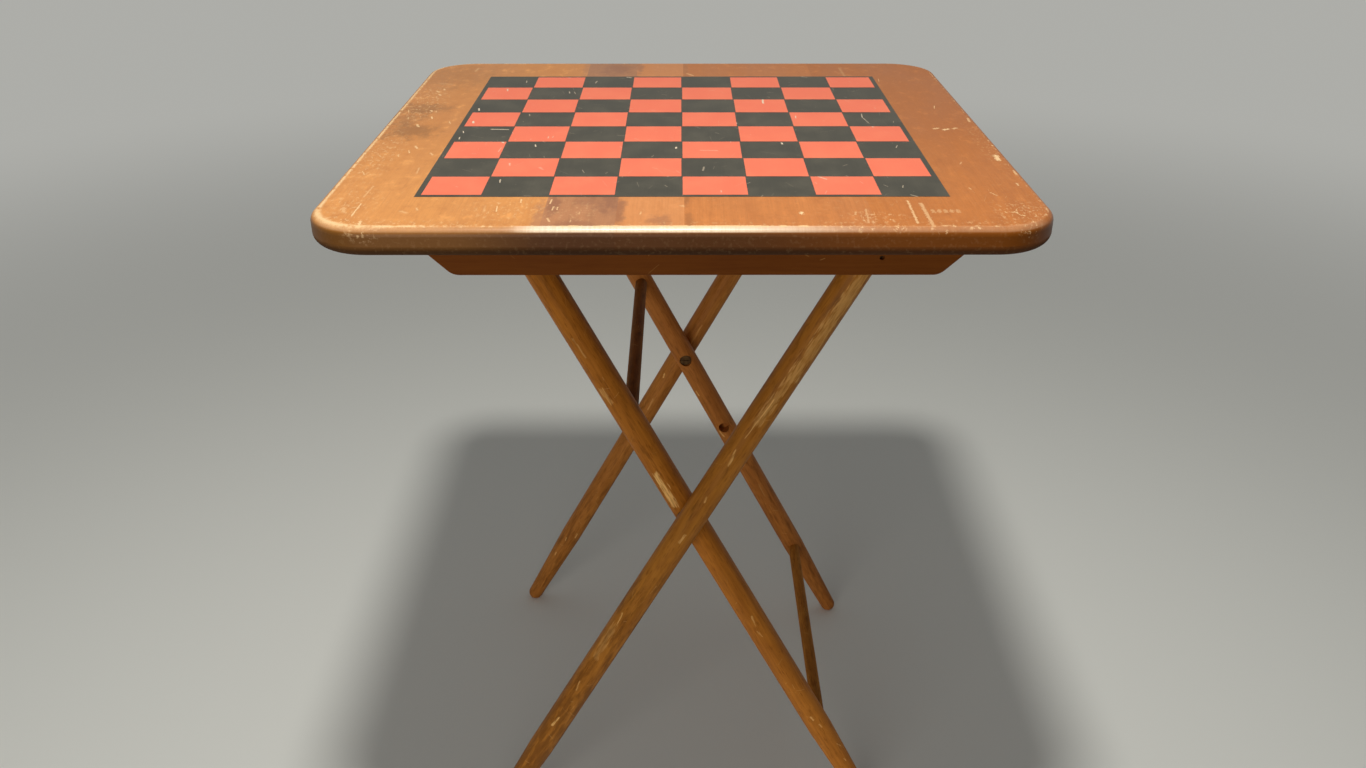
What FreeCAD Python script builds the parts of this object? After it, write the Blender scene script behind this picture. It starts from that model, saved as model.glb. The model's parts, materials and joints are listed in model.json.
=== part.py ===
import FreeCAD, Part
import math
import os

import Sketcher

# Folding game table: a square wooden top with a painted 8 by 8 board, carried by two pairs of
# crossed round legs. Millimetres. The origin is on the floor under the middle of the top,
# +Z is up, -Y is the front and +X is the right-hand side.

SIZES = {
    # the top
    "table_height": 672.0,
    "top_width": 548.0,
    "top_depth": 548.0,
    "top_thick": 22.4,
    "top_corner_radius": 48.0,
    "top_upper_round": 6.4,
    "top_lower_round": 8.5,
    # widths of the glued boards from the left; the right board takes what is left
    "left_board_width": 172.7,
    "dark_board_width": 53.3,
    "narrow_board_width": 49.6,
    "middle_board_width": 137.1,
    # the painted board
    "square_pitch": 50.8,
    "board_border": 4.6,
    "square_gap": 0.5,
    "black_coat_thick": 0.15,
    "red_coat_thick": 0.1,
    # the aprons, set back from the edges of the top
    "apron_edge_setback": 53.6,
    "apron_left_setback": 61.2,
    "apron_right_setback": 39.8,
    "apron_height": 34.7,
    "apron_thick": 22.0,
    "apron_bevel_run": 36.8,
    "apron_corner_round": 13.0,
    "apron_arris_round": 1.5,
    "apron_screw_inset": 105.0,
    "apron_screw_recess": 13.0,
    "apron_screw_length": 34.0,
    # the hinge of the outer legs on the aprons, set back from the right edge of the top
    "hinge_setback": 121.7,
    "hinge_drop": 20.4,
    "hinge_gap": 0.5,
    "hinge_pin_dia": 3.6,
    "hinge_pin_sunk": 5.0,
    "hinge_pin_bite": 18.0,
    # the legs; the inner legs end under the top, set back from its left edge
    "leg_dia": 24.2,
    "leg_top_setback": 135.2,
    "leg_top_gap": 0.3,
    "foot_dia": 17.4,
    "foot_taper": 105.0,
    "foot_flat_depth": 3.0,
    # the crossing of each pair of legs
    "pivot_height": 361.0,
    "pivot_shift": 4.3,
    "pivot_washer_dia": 18.0,
    "pivot_washer_thick": 1.2,
    "pivot_washer_play": 0.2,
    "pivot_bore_dia": 13.8,
    "pivot_bore_depth": 6.4,
    "pivot_screw_dia": 5.0,
    "pivot_screw_bite": 15.0,
    "pivot_head_dia": 12.4,
    "pivot_head_thick": 3.4,
    # the rungs and the empty hole, measured along the inner leg from the pivot
    "rung_dia": 12.7,
    "rung_seat": 15.0,
    "upper_rung_rise": 107.5,
    "lower_rung_drop": 294.0,
    "spare_hole_dia": 12.7,
    "spare_hole_depth": 13.0,
    "spare_hole_drop": 98.8,
    # the stop cleat under the top, between the aprons
    "cleat_end_gap": 20.0,
    "cleat_width": 34.0,
    "cleat_thick": 7.0,
    "cleat_round": 2.0,
    "cleat_leg_gap": 0.4,
    "cleat_screw_inset": 55.0,
    "cleat_screw_length": 18.0,
    # wood screws and fits
    "screw_dia": 4.0,
    "screw_head_dia": 8.0,
    "screw_head_thick": 2.8,
    "screw_slot_width": 1.2,
    "screw_slot_depth": 1.1,
    "fit_clearance": 0.05,
    "end_clearance": 0.5,
}
SQUARES = 8
SCREWS_IN_A_ROW = 3

doc = FreeCAD.newDocument("chess_table")
sheet = doc.addObject("Spreadsheet::Sheet", "Sizes")
for line, (alias, value) in enumerate(SIZES.items(), start=1):
    sheet.set(f"A{line}", alias)
    sheet.set(f"B{line}", str(value))
    sheet.setAlias(f"B{line}", alias)
doc.recompute()

Vector = FreeCAD.Vector
Constraint = Sketcher.Constraint
UP = Vector(0, 0, 1)
ALONG_Y = Vector(0, 1, 0)
ALONG_X = Vector(1, 0, 0)
# How a sketch numbers its own axes and the points of a curve.
HORIZONTAL_AXIS, VERTICAL_AXIS = range(-1, -3, -1)
START, END, CENTRE = range(1, 4)
ORIGIN = (HORIZONTAL_AXIS, START)
# Each side of the table with the sign of its Y.
SIDES = dict(zip(("front", "rear"), range(-1, 2, 2)))


def size(alias):
    return f"Sizes.{alias}"


# Levels and distances that follow from the driving sizes.
LEG_RADIUS = f"({size('leg_dia')} / 2)"
FOOT_RADIUS = f"({size('foot_dia')} / 2)"
UNDERSIDE = f"({size('table_height')} - {size('top_thick')})"
HINGE_HEIGHT = f"({UNDERSIDE} - {size('hinge_drop')})"
HINGE_RISE = f"({HINGE_HEIGHT} - {size('pivot_height')})"
HINGE_X = f"({size('top_width')} / 2 - {size('hinge_setback')})"
OUTER_LEAN = f"atan(({HINGE_X} - {size('pivot_shift')}) / {HINGE_RISE})"
LEG_TOP_RISE = f"({UNDERSIDE} - {size('leg_top_gap')} - {LEG_RADIUS} - {size('pivot_height')})"
LEG_TOP_X = f"({size('leg_top_setback')} - {size('top_width')} / 2)"
INNER_LEAN = f"atan(({size('pivot_shift')} - {LEG_TOP_X}) / {LEG_TOP_RISE})"
FOOT_DROP = f"({size('pivot_height')} - {FOOT_RADIUS} + {size('foot_flat_depth')})"
APRON_OUTER_Y = f"({size('top_depth')} / 2 - {size('apron_edge_setback')})"
APRON_INNER_Y = f"({APRON_OUTER_Y} - {size('apron_thick')})"
APRON_MIDDLE_Y = f"({APRON_OUTER_Y} - {size('apron_thick')} / 2)"
APRON_LENGTH = f"({size('top_width')} - {size('apron_left_setback')} - {size('apron_right_setback')})"
APRON_X = f"(({size('apron_left_setback')} - {size('apron_right_setback')}) / 2)"
OUTER_LEG_Y = f"({APRON_INNER_Y} - {size('hinge_gap')} - {LEG_RADIUS})"
LEG_GAP = f"({size('pivot_washer_thick')} + {size('pivot_washer_play')})"
INNER_LEG_Y = f"({OUTER_LEG_Y} - {size('leg_dia')} - {LEG_GAP})"
FIT = f"(2 * {size('fit_clearance')})"
# The cleat's face stands just clear of the round leg end, where that end crosses the cleat's lower edge.
LEG_END_DEPTH = f"({LEG_RADIUS} - {size('cleat_thick')} + {size('leg_top_gap')})"
LEG_END_REACH = f"sqrt({LEG_RADIUS} * {LEG_RADIUS} - {LEG_END_DEPTH} * {LEG_END_DEPTH})"
CLEAT_FACE_X = f"({LEG_TOP_X} - {LEG_END_REACH} - {size('cleat_leg_gap')})"
CLEAT_MIDDLE_X = f"({CLEAT_FACE_X} - {size('cleat_width')} / 2)"
CLEAT_LENGTH = f"(2 * ({APRON_INNER_Y} - {size('cleat_end_gap')}))"


def bind(target, **expressions):
    # Ties properties to the sheet; a double underscore in a keyword stands for a dot.
    for name, expression in expressions.items():
        target.setExpression(name.replace("__", "."), expression)
    return target


def place(target, x="0", y="0", z="0"):
    return bind(target, Placement__Base__x=x, Placement__Base__y=y, Placement__Base__z=z)


def turn(target, axis, angle):
    target.Placement = FreeCAD.Placement(Vector(0, 0, 0), FreeCAD.Rotation(axis, angle))
    return target


def origin_plane(body, role):
    return next(plane for plane in body.Origin.OriginFeatures if plane.Role == role)


def add_sketch(body, role, name, offset="0"):
    sketch = body.newObject("Sketcher::SketchObject", name)
    sketch.AttachmentSupport = [(origin_plane(body, role), "")]
    sketch.MapMode = "FlatFace"
    return bind(sketch, AttachmentOffset__Base__z=offset)


def dimension(sketch, kind, *references, value, to):
    number = sketch.addConstraint(Constraint(kind, *references, value))
    sketch.setExpression(f"Constraints[{number}]", to)


def draw_rectangle(sketch, width, height, middle_y="0"):
    # A rectangle whose middle lies on the sketch's vertical axis, at the height middle_y.
    corners = [Vector(-1, -1), Vector(1, -1), Vector(1, 1), Vector(-1, 1)]
    sides = [
        sketch.addGeometry(Part.LineSegment(corners[i], corners[(i + 1) % 4]), False) for i in range(4)
    ]
    for i in range(4):
        sketch.addConstraint(Constraint("Coincident", sides[i], END, sides[(i + 1) % 4], START))
    sketch.addConstraint(Constraint("Symmetric", sides[0], START, sides[0], END, VERTICAL_AXIS))
    sketch.addConstraint(Constraint("Horizontal", sides[2]))
    sketch.addConstraint(Constraint("Vertical", sides[1]))
    sketch.addConstraint(Constraint("Vertical", sides[3]))
    dimension(sketch, "DistanceX", sides[0], START, sides[0], END, value=2.0, to=width)
    dimension(sketch, "DistanceY", sides[1], START, sides[1], END, value=2.0, to=height)
    dimension(sketch, "DistanceY", *ORIGIN, sides[0], START, value=-1.0, to=f"{middle_y} - {height} / 2")


def pad(body, sketch, length, name):
    feature = body.newObject("PartDesign::Pad", name)
    feature.Profile = sketch
    bind(feature, Length=length)
    doc.recompute()
    return feature


def round_edges(body, base, names, radius, name):
    feature = body.newObject("PartDesign::Fillet", name)
    feature.Base = (base, names)
    bind(feature, Radius=radius)
    doc.recompute()
    return feature


def edges_where(shape, test):
    return [f"Edge{i}" for i, edge in enumerate(shape.Edges, start=1) if test(edge)]


def runs_along(edge, direction):
    if not isinstance(edge.Curve, (Part.Line, Part.LineSegment)):
        return False
    return abs(abs(edge.tangentAt(edge.FirstParameter).dot(direction)) - 1) < 1e-6


def face_facing(shape, direction):
    for i, face in enumerate(shape.Faces, start=1):
        if isinstance(face.Surface, Part.Plane) and face.normalAt(0, 0).dot(direction) > 0.999:
            return f"Face{i}"
    raise ValueError("no flat face looks that way")


def bore(body, name, diameter, across, along, start, outward):
    # A round hole along Y that runs from the plane Y = start out of the piece, to the rear where
    # outward is 1 and to the front where it is -1.
    sketch = add_sketch(body, "XZ_Plane", f"{name}_sketch", f"-({start})")
    circle = sketch.addGeometry(Part.Circle(Vector(1, 1), UP, 1.0), False)
    dimension(sketch, "DistanceX", *ORIGIN, circle, CENTRE, value=1.0, to=across)
    dimension(sketch, "DistanceY", *ORIGIN, circle, CENTRE, value=1.0, to=along)
    dimension(sketch, "Diameter", circle, value=2.0, to=diameter)
    pocket = body.newObject("PartDesign::Pocket", name)
    pocket.Profile = sketch
    pocket.Type = "ThroughAll"
    pocket.Reversed = outward < 0
    whole = body.Shape.Volume
    doc.recompute()
    if body.Shape.Volume > whole - 1.0:
        raise ValueError(f"{name} cuts nothing")


def cylinder(name, diameter, length, x="0", y="0", z="0"):
    rod = doc.addObject("Part::Cylinder", name)
    bind(rod, Radius=f"{diameter} / 2", Height=length)
    return place(rod, x, y, z)


def boolean(kind, name, base, tool):
    result = doc.addObject(f"Part::{kind}", name)
    result.Base = base
    result.Tool = tool
    return result


def fuse(name, shapes):
    result = doc.addObject("Part::MultiFuse", name)
    result.Shapes = shapes
    return result


def group(name, pieces):
    result = doc.addObject("Part::Compound", name)
    result.Links = pieces
    return result


nodes = {}


def keep(node, piece):
    piece.Label = node
    nodes[node] = piece


# Wood screws stand head down, with the slotted head's face at the given height.
def wood_screw(name, length, x, y, head_z):
    slope = f"({size('screw_head_dia')} - {size('screw_dia')})"
    head = doc.addObject("Part::Cone", f"{name}_head")
    bind(head, Radius1=f"{size('screw_head_dia')} / 2", Radius2=f"{size('screw_dia')} / 2")
    bind(head, Height=size("screw_head_thick"))
    shank_length = f"{length} - {slope}"
    shank = cylinder(f"{name}_shank", size("screw_dia"), shank_length)
    tip = doc.addObject("Part::Cone", f"{name}_tip")
    bind(tip, Radius1=f"{size('screw_dia')} / 2", Radius2=f"{size('screw_dia')} / 8", Height=slope)
    place(tip, z=shank_length)
    slot = doc.addObject("Part::Box", f"{name}_slot")
    bind(slot, Length=size("screw_head_dia"), Width=size("screw_slot_width"), Height=size("screw_slot_depth"))
    place(slot, f"-{size('screw_head_dia')} / 2", f"-{size('screw_slot_width')} / 2")
    solid = fuse(f"{name}_solid", [head, shank, tip])
    return place(boolean("Cut", name, solid, slot), x, y, head_z)


def screw_hole(name, length, recess, x, y, head_z):
    # The hole that a screw needs: an access bore up to its head, a countersink and a pilot hole.
    head_hole = f"({size('screw_head_dia')} + {FIT})"
    pilot_hole = f"({size('screw_dia')} + {FIT})"
    access = cylinder(f"{name}_access", head_hole, recess, x, y, f"{head_z} - {recess}")
    sink = doc.addObject("Part::Cone", f"{name}_sink")
    bind(sink, Radius1=f"{head_hole} / 2", Radius2=f"{pilot_hole} / 2", Height=size("screw_head_thick"))
    place(sink, x, y, head_z)
    pilot = cylinder(f"{name}_pilot", pilot_hole, f"{length} + {size('end_clearance')}", x, y, head_z)
    return fuse(name, [access, sink, pilot])


apron_screw_z = f"({UNDERSIDE} - {size('apron_height')} + {size('apron_screw_recess')})"
cleat_screw_z = f"({UNDERSIDE} - {size('cleat_thick')})"
apron_screws = {"front": [], "rear": []}
apron_screw_holes = {"front": [], "rear": []}
cleat_screws = []
cleat_screw_holes = []
for i in range(SCREWS_IN_A_ROW):
    share = i / (SCREWS_IN_A_ROW - 1) - 1 / 2
    screw_x = f"({APRON_X} + {share} * ({APRON_LENGTH} - 2 * {size('apron_screw_inset')}))"
    for side, sign in SIDES.items():
        at = (screw_x, f"{sign} * {APRON_MIDDLE_Y}", apron_screw_z)
        name = f"{side}_apron_screw_{i}"
        apron_screws[side].append(wood_screw(name, size("apron_screw_length"), *at))
        apron_screw_holes[side].append(
            screw_hole(f"{name}_hole", size("apron_screw_length"), size("apron_screw_recess"), *at)
        )
    screw_y = f"({share} * ({CLEAT_LENGTH} - 2 * {size('cleat_screw_inset')}))"
    at = (CLEAT_MIDDLE_X, screw_y, cleat_screw_z)
    name = f"cleat_screw_{i}"
    cleat_screws.append(wood_screw(name, size("cleat_screw_length"), *at))
    cleat_screw_holes.append(screw_hole(f"{name}_hole", size("cleat_screw_length"), size("end_clearance"), *at))
keep("apron_screws", group("apron_screw_set", apron_screws["front"] + apron_screws["rear"]))
keep("cleat_screws", group("cleat_screw_set", cleat_screws))


# The top: a slab with round corners and rounded edges, ripped along the glue lines into its boards.
slab = doc.addObject("PartDesign::Body", "slab")
slab_outline = add_sketch(slab, "XY_Plane", "slab_outline")
draw_rectangle(slab_outline, size("top_width"), size("top_depth"))
slab_pad = pad(slab, slab_outline, size("top_thick"), "slab_pad")
upright_edges = edges_where(slab_pad.Shape, lambda edge: runs_along(edge, UP))
slab_corners = round_edges(slab, slab_pad, upright_edges, size("top_corner_radius"), "slab_corners")
upper_face = face_facing(slab_corners.Shape, UP)
slab_upper = round_edges(slab, slab_corners, [upper_face], size("top_upper_round"), "slab_upper")
lower_face = face_facing(slab_upper.Shape, -UP)
round_edges(slab, slab_upper, [lower_face], size("top_lower_round"), "slab_lower")
place(slab, z=UNDERSIDE)

pilot_holes = fuse("pilot_holes", apron_screw_holes["front"] + apron_screw_holes["rear"] + cleat_screw_holes)
drilled_slab = boolean("Cut", "drilled_slab", slab, pilot_holes)
board_start = f"(-{size('top_width')} / 2)"
for board in ("left", "dark", "narrow", "middle", "right"):
    if board == "right":
        board_width = f"({size('top_width')} / 2 - {board_start})"
    else:
        board_width = size(f"{board}_board_width")
    rip = doc.addObject("Part::Box", f"{board}_board_rip")
    bind(rip, Length=board_width, Width=size("top_depth"), Height=size("top_thick"))
    place(rip, board_start, f"-{size('top_depth')} / 2", UNDERSIDE)
    keep(f"top_board_{board}", boolean("Common", f"{board}_board", drilled_slab, rip))
    board_start = f"({board_start} + {board_width})"


# The painted board: a black field over the wood, and red squares on it. The squares in the outer
# rows are cut short by the black border line. The near left square is red.
field_side = f"({SQUARES} * {size('square_pitch')})"
black_field = doc.addObject("Part::Box", "black_field")
bind(black_field, Length=field_side, Width=field_side, Height=size("black_coat_thick"))
place(black_field, f"-{field_side} / 2", f"-{field_side} / 2", size("table_height"))
keep("board_black_coat", black_field)

red_level = f"({size('table_height')} + {size('black_coat_thick')})"
square_side = f"({size('square_pitch')} - 2 * {size('square_gap')})"
red_squares = []
for column in range(SQUARES):
    for row in range(SQUARES):
        if (column + row) % 2:
            continue
        square = doc.addObject("Part::Box", f"red_square_{column}_{row}")
        bind(square, Length=square_side, Width=square_side, Height=size("red_coat_thick"))
        corner = [f"({k - SQUARES / 2} * {size('square_pitch')} + {size('square_gap')})" for k in (column, row)]
        red_squares.append(place(square, *corner, red_level))
inner_side = f"({field_side} - 2 * {size('board_border')})"
inside_border = doc.addObject("Part::Box", "inside_border")
bind(inside_border, Length=inner_side, Width=inner_side, Height=size("red_coat_thick"))
place(inside_border, f"-{inner_side} / 2", f"-{inner_side} / 2", red_level)
keep("board_red_coat", boolean("Common", "red_coat", group("red_squares", red_squares), inside_border))


# The aprons: boards on edge, bevelled at both ends with rounded lower corners.
def make_apron(side):
    body = doc.addObject("PartDesign::Body", f"{side}_apron_body")
    outline = add_sketch(body, "XZ_Plane", f"{side}_apron_outline")
    half_top = f"{APRON_LENGTH} / 2"
    half_bottom = f"({half_top} - {size('apron_bevel_run')})"
    corners = [Vector(-3, 0), Vector(-2, -1), Vector(2, -1), Vector(3, 0)]
    lines = [
        outline.addGeometry(Part.LineSegment(corners[i], corners[(i + 1) % 4]), False) for i in range(4)
    ]
    for i in range(4):
        outline.addConstraint(Constraint("Coincident", lines[i], END, lines[(i + 1) % 4], START))
    bevel, bottom, _, top = lines
    outline.addConstraint(Constraint("Symmetric", bottom, START, bottom, END, VERTICAL_AXIS))
    outline.addConstraint(Constraint("Symmetric", top, START, top, END, *ORIGIN))
    outline.addConstraint(Constraint("Horizontal", top))
    dimension(outline, "DistanceX", *ORIGIN, top, START, value=3.0, to=half_top)
    dimension(outline, "DistanceX", *ORIGIN, bottom, END, value=2.0, to=half_bottom)
    dimension(outline, "DistanceY", bevel, END, bevel, START, value=1.0, to=size("apron_height"))
    plank = pad(body, outline, size("apron_thick"), f"{side}_apron_plank")
    lowest = plank.Shape.BoundBox.ZMin
    lower_corners = edges_where(
        plank.Shape, lambda edge: runs_along(edge, ALONG_Y) and abs(edge.BoundBox.ZMax - lowest) < 1e-6
    )
    rounded = round_edges(body, plank, lower_corners, size("apron_corner_round"), f"{side}_apron_corners")
    bottom_edges = edges_where(
        rounded.Shape, lambda edge: runs_along(edge, ALONG_X) and abs(edge.BoundBox.ZMax - lowest) < 1e-6
    )
    round_edges(body, rounded, bottom_edges, size("apron_arris_round"), f"{side}_apron_arris")
    pin_hole = f"({size('hinge_pin_dia')} + {FIT})"
    hinge_at = f"({HINGE_X} - {APRON_X})"
    bore(body, f"{side}_apron_pin_hole", pin_hole, hinge_at, f"-{size('hinge_drop')}", f"-{size('top_depth')}", 1)
    outer_face = f"-{APRON_INNER_Y}" if side == "front" else APRON_OUTER_Y
    place(body, APRON_X, outer_face, UNDERSIDE)
    holes = fuse(f"{side}_apron_screw_holes", apron_screw_holes[side])
    keep(f"{side}_apron", boolean("Cut", f"{side}_apron_drilled", body, holes))


for side in SIDES:
    make_apron(side)


# The stop cleat: a thin bar under the top that the inner legs' upper ends bear on when the table is open.
cleat = doc.addObject("PartDesign::Body", "cleat_body")
cleat_section = add_sketch(cleat, "XZ_Plane", "cleat_section")
draw_rectangle(cleat_section, size("cleat_width"), size("cleat_thick"), f"-{size('cleat_thick')} / 2")
cleat_bar = pad(cleat, cleat_section, CLEAT_LENGTH, "cleat_bar")
cleat_bottom = cleat_bar.Shape.BoundBox.ZMin
cleat_edges = edges_where(cleat_bar.Shape, lambda edge: edge.BoundBox.ZMax - cleat_bottom < 1e-6)
round_edges(cleat, cleat_bar, cleat_edges, size("cleat_round"), "cleat_edges")
place(cleat, CLEAT_MIDDLE_X, f"{CLEAT_LENGTH} / 2", UNDERSIDE)
cleat_holes = fuse("cleat_holes", cleat_screw_holes)
keep("stop_cleat", boolean("Cut", "cleat_drilled", cleat, cleat_holes))


# The legs: turned dowels with a round upper end and a tapered round foot. A leg is drawn upright
# with the pivot at its origin, then leant over and cut level at the floor.
floor = doc.addObject("Part::Box", "floor_cut")
bind(floor, Length=f"2 * {size('top_width')}", Width=f"2 * {size('top_depth')}", Height=size("leg_dia"))
place(floor, f"-{size('top_width')}", f"-{size('top_depth')}", f"-{size('leg_dia')}")


def turn_leg(name, upper_reach, lower_reach):
    body = doc.addObject("PartDesign::Body", f"{name}_body")
    profile = add_sketch(body, "XZ_Plane", f"{name}_profile")
    radius, foot_radius, rise, drop, taper_length = 12.0, 9.0, 290.0, 380.0, 90.0
    upper_circle = Part.Circle(Vector(0, rise), UP, radius)
    foot_circle = Part.Circle(Vector(0, -drop), UP, foot_radius)
    shoulder = Vector(radius, taper_length - drop)
    pieces = [
        Part.LineSegment(Vector(0, -drop - foot_radius), Vector(0, rise + radius)),
        Part.ArcOfCircle(upper_circle, 0, math.pi / 2),
        Part.LineSegment(Vector(radius, rise), shoulder),
        Part.LineSegment(shoulder, Vector(foot_radius, -drop)),
        Part.ArcOfCircle(foot_circle, -math.pi / 2, 0),
    ]
    axis, dome, shank, taper, foot = [profile.addGeometry(piece, False) for piece in pieces]
    joins = [
        (axis, END, dome, END),
        (dome, START, shank, START),
        (shank, END, taper, START),
        (taper, END, foot, END),
        (foot, START, axis, START),
    ]
    for join in joins:
        profile.addConstraint(Constraint("Coincident", *join))
    for point in ((axis, START), (axis, END), (dome, CENTRE), (foot, CENTRE)):
        profile.addConstraint(Constraint("PointOnObject", *point, VERTICAL_AXIS))
    profile.addConstraint(Constraint("Horizontal", dome, CENTRE, dome, START))
    profile.addConstraint(Constraint("Horizontal", foot, CENTRE, foot, END))
    profile.addConstraint(Constraint("Vertical", shank))
    dimension(profile, "DistanceY", dome, CENTRE, dome, END, value=radius, to=LEG_RADIUS)
    dimension(profile, "DistanceY", foot, START, foot, CENTRE, value=foot_radius, to=FOOT_RADIUS)
    dimension(profile, "DistanceY", *ORIGIN, dome, CENTRE, value=rise, to=upper_reach)
    dimension(profile, "DistanceY", foot, CENTRE, *ORIGIN, value=drop, to=lower_reach)
    dimension(profile, "DistanceY", foot, CENTRE, taper, START, value=taper_length, to=size("foot_taper"))
    dowel = body.newObject("PartDesign::Revolution", f"{name}_dowel")
    dowel.Profile = profile
    dowel.ReferenceAxis = (profile, ["V_Axis"])
    dowel.Angle = 360
    doc.recompute()
    return body


def lean_leg(body, lean, y, node):
    turn(body, ALONG_Y, 1.0)
    bind(body, Placement__Rotation__Angle=lean)
    place(body, size("pivot_shift"), y, size("pivot_height"))
    keep(node, boolean("Cut", f"{node}_cut", body, floor))


def blind_start(depth, face):
    # Where a blind hole of that depth ends, in a leg whose hole opens on its front (-1) or rear (1) face.
    return f"{face} * ({LEG_RADIUS} - {depth})"


pivot_hole = f"({size('pivot_screw_dia')} + {FIT})"
pin_hole = f"({size('hinge_pin_dia')} + {FIT})"
rung_hole = f"({size('rung_dia')} + {FIT})"
for side, sign in SIDES.items():
    hinge_reach = f"({HINGE_RISE} / cos({OUTER_LEAN}))"
    outer = turn_leg(f"{side}_outer_leg", hinge_reach, f"({FOOT_DROP} / cos({OUTER_LEAN}))")
    inward, outward = -sign, sign
    screw_end = f"({size('pivot_screw_bite')} + {size('end_clearance')})"
    pin_end = f"({size('hinge_pin_bite')} + {size('end_clearance')})"
    start = blind_start(screw_end, inward)
    bore(outer, f"{side}_outer_pivot_hole", pivot_hole, "0", "0", start, inward)
    start = blind_start(pin_end, outward)
    bore(outer, f"{side}_outer_pin_hole", pin_hole, "0", hinge_reach, start, outward)
    lean_leg(outer, OUTER_LEAN, f"{sign} * {OUTER_LEG_Y}", f"{side}_outer_leg")

    top_reach = f"({LEG_TOP_RISE} / cos({INNER_LEAN}))"
    inner = turn_leg(f"{side}_inner_leg", top_reach, f"({FOOT_DROP} / cos({INNER_LEAN}))")
    bore(inner, f"{side}_inner_pivot_hole", pivot_hole, "0", "0", f"{outward} * -{size('leg_dia')}", outward)
    start = blind_start(size("pivot_bore_depth"), inward)
    bore(inner, f"{side}_inner_counterbore", size("pivot_bore_dia"), "0", "0", start, inward)
    start = blind_start(size("spare_hole_depth"), inward)
    bore(inner, f"{side}_spare_hole", size("spare_hole_dia"), "0", f"-{size('spare_hole_drop')}", start, inward)
    start = blind_start(f"({size('rung_seat')} + {size('end_clearance')})", inward)
    bore(inner, f"{side}_upper_rung_hole", rung_hole, "0", size("upper_rung_rise"), start, inward)
    bore(inner, f"{side}_lower_rung_hole", rung_hole, "0", f"-{size('lower_rung_drop')}", start, inward)
    lean_leg(inner, f"-{INNER_LEAN}", f"{sign} * {INNER_LEG_Y}", f"{side}_inner_leg")


# The rungs: dowels seated in both inner legs, on the legs' centre lines.
rung_half = f"({INNER_LEG_Y} - {LEG_RADIUS} + {size('rung_seat')})"
for rung, along in (("upper_rung", size("upper_rung_rise")), ("lower_rung", f"-{size('lower_rung_drop')}")):
    dowel = turn(cylinder(f"{rung}_dowel", size("rung_dia"), f"2 * {rung_half}"), ALONG_X, -90)
    rung_x = f"{size('pivot_shift')} - {along} * sin({INNER_LEAN})"
    rung_z = f"{size('pivot_height')} + {along} * cos({INNER_LEAN})"
    keep(rung, place(dowel, rung_x, f"-{rung_half}", rung_z))


# The pivots: a screw through each inner leg into the outer leg, with a washer between the legs.
def turn_outward(piece, sign):
    # Points a piece that was drawn upward to the front (-1) or to the rear (1).
    return turn(piece, ALONG_X, -90 * sign)


head_seat_y = f"({INNER_LEG_Y} - {LEG_RADIUS} + {size('pivot_bore_depth')})"
washer_y = f"({INNER_LEG_Y} + {LEG_RADIUS} + {size('pivot_washer_play')})"
head_under_y = f"({head_seat_y} - {size('pivot_washer_play')})"
head_face_y = f"({head_under_y} - {size('pivot_head_thick')})"
screw_reach = f"({OUTER_LEG_Y} - {LEG_RADIUS} + {size('pivot_screw_bite')} - {head_face_y})"
pivot_screws = []
pivot_washers = []
for side, sign in SIDES.items():
    name = f"{side}_pivot_screw"
    head = cylinder(f"{name}_head", size("pivot_head_dia"), size("pivot_head_thick"))
    shank = cylinder(f"{name}_shank", size("pivot_screw_dia"), screw_reach)
    slot = doc.addObject("Part::Box", f"{name}_slot")
    bind(slot, Length=size("pivot_head_dia"), Width=size("screw_slot_width"), Height=size("screw_slot_depth"))
    place(slot, f"-{size('pivot_head_dia')} / 2", f"-{size('screw_slot_width')} / 2")
    screw = turn_outward(boolean("Cut", name, fuse(f"{name}_solid", [head, shank]), slot), sign)
    pivot_screws.append(place(screw, size("pivot_shift"), f"{sign} * {head_face_y}", size("pivot_height")))

    name = f"{side}_pivot_washer"
    disc = cylinder(f"{name}_disc", size("pivot_washer_dia"), size("pivot_washer_thick"))
    eye = cylinder(f"{name}_eye", pivot_hole, size("pivot_washer_thick"))
    washer = turn_outward(boolean("Cut", name, disc, eye), sign)
    pivot_washers.append(place(washer, size("pivot_shift"), f"{sign} * {washer_y}", size("pivot_height")))
keep("pivot_screws", group("pivot_screw_pair", pivot_screws))
keep("pivot_washers", group("pivot_washer_pair", pivot_washers))


# The hinge pins: plain steel pins sunk in the aprons, on which the outer legs turn.
pin_start_y = f"({OUTER_LEG_Y} + {LEG_RADIUS} - {size('hinge_pin_bite')})"
pin_length = f"({APRON_OUTER_Y} - {size('hinge_pin_sunk')} - {pin_start_y})"
for side, sign in SIDES.items():
    pin = turn_outward(cylinder(f"{side}_pin", size("hinge_pin_dia"), pin_length), sign)
    keep(f"{side}_hinge_pin", place(pin, HINGE_X, f"{sign} * {pin_start_y}", HINGE_HEIGHT))


doc.recompute()
for thing in doc.Objects:
    if "Invalid" in thing.State or "Error" in thing.State:
        raise ValueError(f"{thing.Name} failed: {thing.State}")
for node, piece in nodes.items():
    if piece.Shape.isNull() or not piece.Shape.isValid() or not piece.Shape.Solids:
        raise ValueError(f"{node} has no sound shape")

os.makedirs("parts", exist_ok=True)
for node, piece in nodes.items():
    piece.Shape.exportStep(f"parts/{node}.step")
    box = piece.Shape.BoundBox
    print(f"{node}: {len(piece.Shape.Solids)} solids, {piece.Shape.Volume / 1000:.2f} cm3,"
          f" X {box.XMin:.1f} to {box.XMax:.1f}, Y {box.YMin:.1f} to {box.YMax:.1f},"
          f" Z {box.ZMin:.1f} to {box.ZMax:.1f}")
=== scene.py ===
# %% [markdown]
# # A folding game table with a painted board
#
# The table is an old one: five glued boards carry a red and black checker board, and two pairs of
# crossed round legs fold under them. The solid pieces come from the CAD model and stay where they are.
# This lesson gives them their looks: aged varnish, worn edges, chipped paint and dull steel.
# Everything is in metres, in the table's own frame, with the floor at height zero.

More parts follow.
